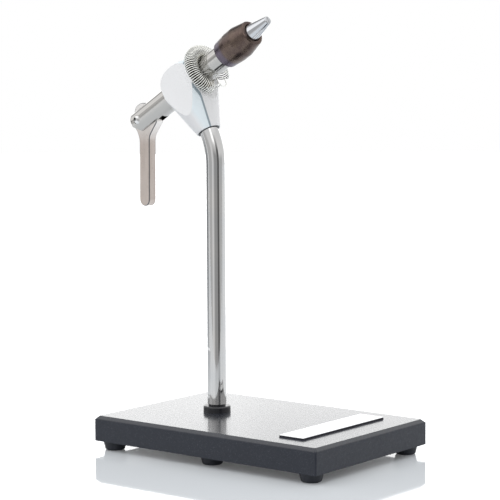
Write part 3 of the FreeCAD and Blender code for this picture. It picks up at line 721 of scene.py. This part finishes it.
def post_shape():
    tangent = BEND_RADIUS * math.tan(LEAN / 2)
    bend_start = BEND_HEIGHT - tangent
    mesh = bmesh.new()
    bmesh.ops.create_circle(mesh, segments=ROUND_STEPS, radius=POST_RADIUS - POST_CHAMFER)
    bmesh.ops.translate(mesh, verts=mesh.verts, vec=(0, 0, POST_FOOT))
    rim = drawn_on(mesh, mesh.edges[:], (0, 0, POST_CHAMFER))
    rim_points = {vert for edge in rim for vert in edge.verts}
    wider = POST_RADIUS / (POST_RADIUS - POST_CHAMFER)
    bmesh.ops.scale(mesh, verts=list(rim_points), vec=(wider, wider, 1))
    rim = drawn_on(mesh, rim, (0, 0, bend_start - POST_FOOT - POST_CHAMFER))
    bend = bmesh.ops.spin(mesh, geom=rim, cent=(-BEND_RADIUS, 0, bend_start), axis=(0, -1, 0),
                          angle=LEAN, steps=24)
    rim = [item for item in bend["geom_last"] if isinstance(item, bmesh.types.BMEdge)]
    along = Vector((-math.sin(LEAN), 0, math.cos(LEAN)))
    rim = drawn_on(mesh, rim, along * (LEG_LENGTH - tangent))
    bmesh.ops.holes_fill(mesh, edges=mesh.edges[:], sides=0)
    bmesh.ops.recalc_face_normals(mesh, faces=mesh.faces)
    flat_low = POST_FOOT + FLAT_START
    flat_high = flat_low + FLAT_LENGTH
    inner = -POST_RADIUS + FLAT_DEPTH
    cutter = drawn_outline([(-7, flat_low, 0), (inner, flat_low, 0), (inner, flat_high, FLAT_RUNOUT),
                            (-7, flat_high + FLAT_RUNOUT, 0)], closed=True)
    face = bmesh.ops.edgeloop_fill(cutter, edges=cutter.edges[:])["faces"]
    grown = bmesh.ops.extrude_face_region(cutter, geom=face)["geom"]
    bmesh.ops.translate(cutter, verts=[item for item in grown if isinstance(item, bmesh.types.BMVert)],
                        vec=(0, 12, 0))
    bmesh.ops.translate(cutter, verts=cutter.verts, vec=(0, -6, 0))
    return carve(mesh, moved(cutter, Matrix.Rotation(FLAT_TURN, 4, "Z")))


place_piece("bent_post", post_shape(), post_place, "stand", "stainless", "post", sharp=25)

# %% [markdown]
# The head is turned on the post leg's axis, which gives the conical neck, the wide body and the domed
# top. Flats are then sawn on both sides and on the front, and it is bored across for the barrel, from
# below for the post and from the far side for two screws. The same order works here: spin, three plane
# cuts, and cutters for the bores.

# %% Head
HEAD_RADIUS = 14.4
HEAD_SIDE = 18.9 / 2
HEAD_FRONT = 10.4
HEAD_TOP = 10.1
NECK_LENGTH = 27.16
NECK_RADIUS = 6.2
NECK_SLOPE = 0.338                               # gained in radius for each millimetre up
LEG_DEPTH = 15.47                                # from the barrel's axis down to the leg's end
BARREL_RADIUS = 6.2


def head_shape():
    cone_top = -NECK_LENGTH + (HEAD_RADIUS - NECK_RADIUS) / NECK_SLOPE
    mesh = turned([(0, -NECK_LENGTH, 0), (NECK_RADIUS, -NECK_LENGTH, 0.5), (HEAD_RADIUS, cone_top, 10.0),
                   (HEAD_RADIUS, HEAD_TOP, 7.9), (0, HEAD_TOP, 0)], steps=128)
    sawn(mesh, (0, -HEAD_SIDE, 0), (0, -1, 0))
    sawn(mesh, (0, HEAD_SIDE, 0), (0, 1, 0))
    sawn(mesh, (HEAD_FRONT, 0, 0), (1, 0, 0))
    bmesh.ops.dissolve_degenerate(mesh, edges=mesh.edges, dist=0.06)
    flats = [face for face in mesh.faces if len(face.verts) > 20 and face.calc_area() > 60]
    rims = {edge for face in flats for edge in face.edges if edge.calc_face_angle(0) > math.radians(12)}
    soften(mesh, list(rims), 0.3, 3)
    bush_bore = moved(rod(7.73, -10.0, HEAD_FRONT + 1, flare_high=0.45), TO_X)
    lip_bore = moved(rod(BARREL_RADIUS + 0.1, -16, 0), TO_X)
    leg_bore = rod(POST_RADIUS + 0.03, -NECK_LENGTH - 1, -LEG_DEPTH, flare_low=0.42)
    grub_bore = moved(rod(2.05, 0, 12), Matrix.Translation((0, 0, -NECK_LENGTH + 7.5)) @ TO_Y)
    drag_bore = moved(rod(2.55, 0, 12), TO_Y)
    return carve(mesh, bush_bore, lip_bore, leg_bore, grub_bore, drag_bore)


place_piece("head_block", head_shape(), barrel_place, "stand", "head_alloy", "head", sharp=30)

# %% [markdown]
# The barrel is a tube turned from bar: a rounded rear end, a groove that the friction plug rubs in, bores
# for the spring and the push rod, a slot for the lever and a cross hole for its pin. Its lower rear end is
# cut off at a slant. The pin is riveted flush, and a fine ring shows where it meets the countersink.

# %% Barrel and lever pin
BARREL_REAR = -42.4
BARREL_FRONT = 38.5
BARREL_CHAMFER = 0.6
GROOVE_RADIUS = 5.6
GROOVE_HALF = 2.05
SLOT_FRONT = -22.8
SLOT_HALF = 2.525
PIN_PLACE = BARREL_REAR + 5.05
PIN_RADIUS = 2.3
PIN_EDGE = 1.8                                   # radius at which the riveted end begins to round off
across_pin = Matrix.Translation((PIN_PLACE, 0, 0)) @ TO_Y


def barrel_shape():
    mesh = moved(turned([(0, BARREL_REAR, 0), (BARREL_RADIUS, BARREL_REAR, 1.0),
                         (BARREL_RADIUS, -GROOVE_HALF, 0), (GROOVE_RADIUS, -GROOVE_HALF, 0),
                         (GROOVE_RADIUS, GROOVE_HALF, 0), (BARREL_RADIUS, GROOVE_HALF, 0),
                         (BARREL_RADIUS, BARREL_FRONT - BARREL_CHAMFER, 0),
                         (BARREL_RADIUS - BARREL_CHAMFER, BARREL_FRONT, 0), (0, BARREL_FRONT, 0)]), TO_X)
    spring_bore = moved(rod(4.1, BARREL_REAR - 1, 2.0), TO_X)
    rod_bore = moved(rod(3.03, 0, BARREL_FRONT + 1), TO_X)
    front_bore = moved(rod(4.2, 26.0, BARREL_FRONT + 1), TO_X)
    slot = block((BARREL_REAR - 1, SLOT_FRONT), (-SLOT_HALF, SLOT_HALF), (-13, 13))
    slant = moved(block((-12, 0), (-7, 7), (-12, 1)), Matrix.Rotation(math.radians(-34.2), 4, "Y"))
    slant = moved(slant, Matrix.Translation((BARREL_REAR, 0, -1.0)))
    pin_hole = moved(rod(PIN_RADIUS, -BARREL_RADIUS - 0.1, BARREL_RADIUS + 0.1, 0.08, 0.08), across_pin)
    return carve(mesh, spring_bore, rod_bore, front_bore, slot, slant, pin_hole)


place_piece("barrel_tube", barrel_shape(), barrel_place, "barrel_body", "barrel_steel", "barrel", sharp=25)

pin = turned([(0, -BARREL_RADIUS, 0), (PIN_EDGE, -BARREL_RADIUS + 0.04, 0),
              (PIN_RADIUS, -BARREL_RADIUS + 0.4, 0.3), (PIN_RADIUS, BARREL_RADIUS - 0.4, 0.3),
              (PIN_EDGE, BARREL_RADIUS - 0.04, 0), (0, BARREL_RADIUS, 0)], steps=48)
place_piece("cross_pin", moved(pin, across_pin), barrel_place, "barrel_body", "stainless", "lever_pin",
            sharp=40)

# %% [markdown]
# The lever is cut from flat bar, so its outline is drawn once and drawn out to its thickness. The cam at
# its top is the only curve that needs a formula: with a flat follower, each degree of swing moves the rod
# by the same amount when the curve is the follower's envelope. All edges are rounded a little and
# polished; the dark line between two pale faces is a painted reflection, laid on by the lever's finish.

# %% Lever
LEVER_THICKNESS = 4.85
LEVER_ROUND = 0.42
LEVER_TILT = Matrix.Rotation(math.radians(0.55), 3, "Y")
LEVER_SWING = 100                                # degrees, in which the cam lets the rod back by its travel
ROD_TRAVEL = 2.27
CAM_CLOSED = 10.0
CAM_RISE = ROD_TRAVEL / math.radians(LEVER_SWING)
CAM_START, CAM_SWEEP, CAM_STEPS = -30, 135, 28


def cam_point(angle):
    """Point of the cam about the pin, with the lever hanging down."""
    turn = math.radians(angle)
    normal = Vector((math.cos(turn), 0, math.sin(turn)))
    tangent = Vector((-math.sin(turn), 0, math.cos(turn)))
    point = normal * (CAM_CLOSED - CAM_RISE * turn) - tangent * CAM_RISE
    return Matrix.Rotation(-LEAN, 3, "Y") @ point


def arc_through(start, middle, end, count):
    """Points of the arc from start to end through middle, in the XZ plane, without its ends."""
    one, two = (middle - start), (end - start)
    scale = 2 * (one.x * two.z - one.z * two.x)
    centre = start + Vector(((two.z * one.length_squared - one.z * two.length_squared) / scale, 0,
                             (one.x * two.length_squared - two.x * one.length_squared) / scale))
    first, last = start - centre, end - centre
    sweep = Vector((first.x, first.z)).angle_signed(Vector((last.x, last.z)))
    return [centre + Matrix.Rotation(sweep * step / count, 3, "Y") @ first for step in range(1, count)]


def lever_shape():
    cam = [cam_point(CAM_START + CAM_SWEEP * step / CAM_STEPS) for step in range(CAM_STEPS + 1)]
    shoulder = Vector((-4.9, 0, -4.7))
    back = arc_through(cam[-1], Vector((-5.9, 0, 0)), shoulder, 12)
    corners = [(shoulder.x, shoulder.z, 0)]
    for x, z, rounding in ((-1.7, -7.9, 10.0), (-1.7, -44.8, 3.4), (5.45, -44.8, 3.4), (5.45, -8.5, 6.0)):
        hanging = LEVER_TILT @ Vector((x, 0, z))
        corners.append((hanging.x, hanging.z, rounding))
    corners += [(point.x, point.z, 0) for point in cam + back]
    mesh = drawn_outline(corners, closed=True)
    face = bmesh.ops.edgeloop_fill(mesh, edges=mesh.edges[:])["faces"]
    grown = bmesh.ops.extrude_face_region(mesh, geom=face)["geom"]
    bmesh.ops.translate(mesh, verts=[item for item in grown if isinstance(item, bmesh.types.BMVert)],
                        vec=(0, LEVER_THICKNESS, 0))
    bmesh.ops.translate(mesh, verts=mesh.verts, vec=(0, -LEVER_THICKNESS / 2, 0))
    bmesh.ops.recalc_face_normals(mesh, faces=mesh.faces)
    sides = [face for face in mesh.faces if abs(face.normal.y) > 0.9]
    soften(mesh, list({edge for face in sides for edge in face.edges}), LEVER_ROUND, 3)
    return carve(mesh, moved(rod(PIN_RADIUS + 0.03, -4, 4), TO_Y))


place_piece("cam_lever", lever_shape(), lever_place, "lever_body", "lever_steel", "lever", sharp=40)

# %% [markdown]
# The sleeve is a barrel-shaped nut. Inside it carries the taper that closes the jaws, so its outline is a
# closed loop spun round the axis, hollow from end to end.

# %% Sleeve


def sleeve_shape():
    return turned([(6.25, 29.0, 0), (7.35, 29.0, 0.6), (8.2, 36.7, 6.0), (8.2, 41.7, 6.0), (6.55, 49.9, 0.12),
                   (6.05, 50.4, 0.12), (4.8, 50.4, 0.12), (4.67, 49.8, 0), (6.25, 41.9, 0)], closed=True)


place_piece("taper_sleeve", moved(sleeve_shape(), TO_X), barrel_place, "sleeve_body", "sleeve_brown",
            "jaw_sleeve")

# %% [markdown]
# The jaws are one cone turned and hardened, then slit in two. Half of the spun cone is kept on each side of
# the slit, and its long edges are rounded, so that the slit reads as a fine dark line.

# %% Jaws


def jaw_shape(side):
    """Half cone, with the tongue that swings in the fork of the push rod."""
    mesh = moved(turned([(0, 35.6, 0), (3.0, 35.6, 0), (3.0, 42.0, 0), (5.8, 42.0, 0.4), (5.8, 43.4, 0),
                         (2.0, 62.4, 0.5), (0, 62.4, 0)], steps=72), TO_X)
    sawn(mesh, (0, side * 0.12, 0), (0, -side, 0))
    rims = [edge for edge in mesh.edges if edge.calc_face_angle(0) > math.radians(50)
            and min(vert.co.x for vert in edge.verts) > 44]
    soften(mesh, rims, 0.12, 2)
    low, high = sorted((-side * 0.1, -side * 2.0))
    tongue = block((33.0, 36.0), sorted((side * 0.12, side * 2.2)), (low, high))
    return joined(mesh, tongue, moved(rod(2.2, low, high), Matrix.Translation((33.0, 0, 0))))


for name, side in (("left", -1), ("right", 1)):
    place_piece("half_cone_" + name, jaw_shape(side), barrel_place, name + "_jaw", "jaw_steel",
                "jaw_" + name)

# %% [markdown]
# The clip that holds loose material is a long fine spring, closed into a ring by its two hooked ends. A
# curve with a round bevel is the natural way: its points follow the turns, and the bevel gives the wire.
# Wire is thin, so eight sides are enough.

# %% Material clip
CLIP_WIRE = 0.46
CLIP_TURNS = 56
CLIP_OPEN = math.radians(77)
POINTS_PER_TURN = 20
HOOK_RADIUS = 2.9


def clip_point(about_barrel, about_ring, wind):
    """Point of the wire's centre, at that distance from the middle of the coil."""
    reach = CLIP_RING + wind * math.cos(about_ring)
    return Vector((CLIP_PLACE + wind * math.sin(about_ring), reach * math.sin(about_barrel),
                   -reach * math.cos(about_barrel)))


def hook_points(end, onward, standing):
    """Loop that the wire is bent into past the coil's end, flat in the ring or standing across it."""
    middle = end + onward * (HOOK_RADIUS + 0.5) / CLIP_RING
    centre = clip_point(middle, 0, 0)
    ahead = Vector((0, math.cos(middle), math.sin(middle))) * onward
    side = Vector((1, 0, 0)) if standing else Vector((0, math.sin(middle), -math.cos(middle)))
    turns = [math.radians(-20 + 290 * step / 20) for step in range(21)]
    return [centre - ahead * HOOK_RADIUS * math.cos(turn) + side * HOOK_RADIUS * math.sin(turn)
            for turn in turns]


def clip_points():
    count = CLIP_TURNS * POINTS_PER_TURN
    wind = CLIP_COIL - CLIP_WIRE / 2
    first = CLIP_JOIN + CLIP_OPEN / 2
    last = first + 2 * math.pi - CLIP_OPEN
    coil = [clip_point(first + (last - first) * step / count, 2 * math.pi * step / POINTS_PER_TURN, wind)
            for step in range(count + 1)]
    return hook_points(first, -1, False)[::-1] + coil + hook_points(last, 1, True)


def clip_shape():
    curve = bpy.data.curves.new("clip_wire", "CURVE")
    curve.dimensions = "3D"
    curve.bevel_depth = CLIP_WIRE / 2
    curve.bevel_resolution = 2
    curve.use_fill_caps = True
    points = clip_points()
    spline = curve.splines.new("POLY")
    spline.points.add(len(points) - 1)
    for spot, point in zip(spline.points, points):
        spot.co = (*point, 1.0)
    work = bpy.data.objects.new("clip_wire", curve)
    scene.collection.objects.link(work)
    graph = bpy.context.evaluated_depsgraph_get()
    mesh = bmesh.new()
    mesh.from_mesh(bpy.data.meshes.new_from_object(work.evaluated_get(graph)))
    bpy.data.objects.remove(work)
    bpy.data.curves.remove(curve)
    return mesh


place_piece("spring_clip", clip_shape(), barrel_place, "barrel_body", "spring_steel", "material_clip",
            sharp=60)

# %% [markdown]
# The camera stands where the photograph was taken from. It was found by fitting the base's and the post's
# edges, and the shift only nudges the picture by a fraction of a pixel.

# %% Camera
PIXELS = 500
FOCAL_PIXELS = 1902.1
SENSOR_MM = 36.0
AZIMUTH, ELEVATION, ROLL = math.radians(38.269), math.radians(5.734), math.radians(-0.258)
EYE = Vector((0.57735 + base_middle_x, -0.7386, 0.19546))
camera_data = bpy.data.cameras.new("camera")
camera_data.sensor_width = SENSOR_MM
camera_data.lens = FOCAL_PIXELS / PIXELS * SENSOR_MM
camera_data.clip_start = 0.01
camera_data.shift_x = -0.1 / PIXELS
camera_data.shift_y = -0.1 / PIXELS
camera = bpy.data.objects.new("camera", camera_data)
swing = Matrix.Rotation(AZIMUTH, 4, "Z") @ Matrix.Rotation(math.pi / 2 - ELEVATION, 4, "X")
camera.matrix_world = Matrix.Translation(EYE) @ swing @ Matrix.Rotation(ROLL, 4, "Z")
scene.collection.objects.link(camera)
scene.camera = camera
print("camera stands", round(EYE.length, 3), "m away")

# %% [markdown]
# The table is a glossy white sheet that ends a little in front of the vise, so that the polished steel can
# mirror the darker room beyond it, as it does in the photograph. Most of what the camera sees of the
# table is its plain white, with a share of mirror that grows toward grazing views. The camera, mirrors and
# glass see a touch of white on top, which lifts the table to the background's white and keeps the shadow.

# %% Table
TABLE_NEAR, TABLE_FAR, TABLE_SIDE = 0.24, 3.0, 3.0       # metres from the origin to its edges
TABLE_LIFT = 0.07


def table_shape():
    mesh = block((-TABLE_SIDE, TABLE_SIDE), (-TABLE_NEAR, TABLE_FAR), (-0.01, 0.0))
    return moved(mesh, Matrix.Rotation(AZIMUTH, 4, "Z"))


def table_finish():
    material = bpy.data.materials.new("white_table")
    material.use_nodes = True
    tree = material.node_tree
    tree.nodes.clear()
    finish = Finish(tree)
    rays = tree.nodes.new("ShaderNodeLightPath")
    seen = Value(finish, rays.outputs["Is Camera Ray"]) + Value(finish, rays.outputs["Is Glossy Ray"])
    seen = seen + Value(finish, rays.outputs["Is Transmission Ray"])
    white = finish.node("ShaderNodeBsdfDiffuse", inputs={"Color": (0.9, 0.945, 0.985, 1.0)})
    mirror = finish.node("ShaderNodeBsdfGlossy", inputs={"Color": (1, 1, 1, 1), "Roughness": 0.05})
    facing = finish.node("ShaderNodeLayerWeight", inputs={"Blend": 0.5}, output=1)
    share = facing * facing * facing * 0.95
    table = finish.node("ShaderNodeMixShader", inputs={0: share, 1: white, 2: mirror})
    lift = finish.node("ShaderNodeEmission", inputs={"Color": (1, 1, 1, 1), "Strength": seen * TABLE_LIFT})
    both = finish.node("ShaderNodeAddShader", inputs={0: table, 1: lift})
    output = tree.nodes.new("ShaderNodeOutputMaterial")
    finish.feed(output.inputs["Surface"], both)
    return material


table_data = bpy.data.meshes.new("table")
table_shape().to_mesh(table_data)
table_data.materials.append(table_finish())
table = bpy.data.objects.new("table", table_data)
scene.collection.objects.link(table)
print("table:", 2 * TABLE_SIDE, "m wide, ends", TABLE_NEAR, "m in front of the vise")

# %% [markdown]
# The world is the studio, drawn by angle: pale walls that are greyer low down at the sides, a wide soft
# light overhead, a window-like light at the left with a weaker one behind it, a panel of light high behind
# the camera and a low bright one across the room. The side of the room behind the camera is dark, and so
# are two parts at the far left, one low and one high. The camera itself sees plain white. Everything else
# sees the room, because polished metal looks like nothing at all without something dark to mirror.

# %% Studio
WALL_LIGHT = 0.93
world = bpy.data.worlds.new("studio")
world.use_nodes = True
scene.world = world


def studio_light():
    tree = world.node_tree
    tree.nodes.clear()
    finish = Finish(tree)
    rays = tree.nodes.new("ShaderNodeLightPath")
    camera_sees = Value(finish, rays.outputs["Is Camera Ray"])
    direction = finish.node("ShaderNodeTexCoord", output=0)
    toward_camera = (math.sin(AZIMUTH), -math.cos(AZIMUTH), 0.0)
    toward_right = (math.cos(AZIMUTH), math.sin(AZIMUTH), 0.0)
    front = finish.dot(direction, toward_camera)
    right = finish.dot(direction, toward_right)
    height = finish.dot(direction, (0, 0, 1))
    # Degrees to the right of straight behind the camera, and degrees up
    around = finish.maths("ARCTAN2", right, front) * (180 / math.pi)
    level = finish.maths("ARCSINE", height) * (180 / math.pi)
    # The dark side of the room, darkest at its right end, the grey low walls and the dark parts at the left
    dark = finish.band(around, (-30, -12), (46, 42)) * finish.between(level, 20, 8) * 0.5
    darkest = finish.band(around, (16, 22), (46, 42)) * finish.between(level, 38, 16) * 0.78
    dark = finish.maths("MAXIMUM", dark, darkest)
    walls = finish.between(level, 12, 5) * (finish.band(around, (-92, -86), (-42, -46))
                                            + finish.band(around, (44, 48), (92, 86)))
    low_corner = finish.band(around, (-170, -164), (-98, -104)) * finish.between(level, 12, 8)
    high_corner = finish.band(level, (14, 18), (60, 50)) * finish.between(around, -132, -138)
    # The lights
    above = finish.between(level, 35, 60)
    window = finish.band(around, (-112, -106), (-62, -68)) * finish.band(level, (9, 13), (42, 38))
    behind = finish.band(level, (9, 13), (34, 22)) * finish.between(around, -106, -114)
    far = finish.between(level, 16, 10) * finish.between(finish.maths("ABSOLUTE", around), 156, 164)
    panel = finish.band(around, (-10, -6), (18, 14)) * finish.band(level, (20, 26), (46, 42))
    light = (WALL_LIGHT - dark - walls * 0.3 - low_corner * 0.9 - high_corner * 0.8
             + above * 0.5 + window * 0.7 + behind * 0.5 + far * 1.15 + panel * 0.9)
    strength = camera_sees + (1 - camera_sees) * light
    background = finish.node("ShaderNodeBackground", inputs={"Color": (1, 1, 1, 1), "Strength": strength})
    output = tree.nodes.new("ShaderNodeOutputWorld")
    finish.feed(output.inputs["Surface"], background)


studio_light()
scene.view_settings.view_transform = "Standard"
print("nodes that draw the studio:", len(world.node_tree.nodes))
